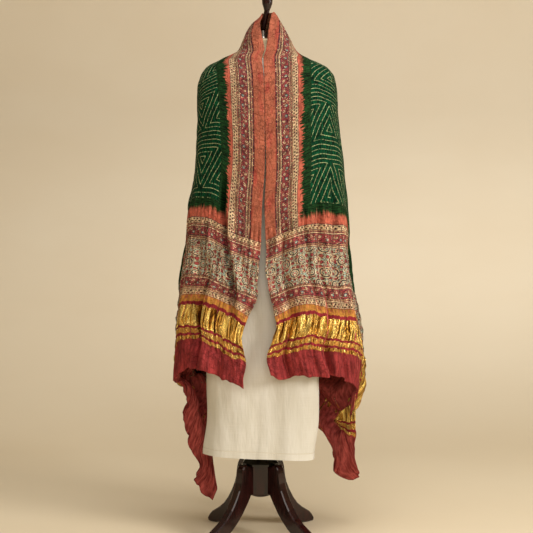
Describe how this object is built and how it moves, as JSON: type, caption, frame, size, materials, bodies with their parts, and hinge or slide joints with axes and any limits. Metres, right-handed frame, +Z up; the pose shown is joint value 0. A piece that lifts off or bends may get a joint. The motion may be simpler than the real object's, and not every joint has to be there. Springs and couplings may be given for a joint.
{
  "type": "bandhani cloth draped on a dress form with its floor stand",
  "caption": "Tie-dyed and block-printed cloth with woven metallic end bands, draped like a cape over a dress form in a plain shift on a wooden floor stand.",
  "frame": {"origin": "on the floor, under the middle of the whole part's box", "axes": "+Z up along the pole, -Y towards the front opening of the cloth, +X to the viewer's right from the front"},
  "size_m": [0.564, 0.362, 1.578],
  "materials": {
    "bandhani_silk": "matte silk, green tie-dye with terracotta, mint and gold bands",
    "cream_cotton": "matte plain weave",
    "form_cover": "matte stretched cover",
    "ferrule_metal": "satin",
    "stained_wood": "dark stain under gloss varnish"
  },
  "bodies": {
    "root": {"draped_cloth": "bandhani_silk", "cream_shift": "cream_cotton", "dress_form": "form_cover", "neck_ferrule": "ferrule_metal", "neck_finial": "stained_wood", "pole": "stained_wood", "flared_collar": "stained_wood", "hub": "stained_wood", "hub_boss": "stained_wood", "leg_front_right": "stained_wood", "leg_back_right": "stained_wood", "leg_back_left": "stained_wood", "leg_front_left": "stained_wood"}
  },
  "joints": []
}
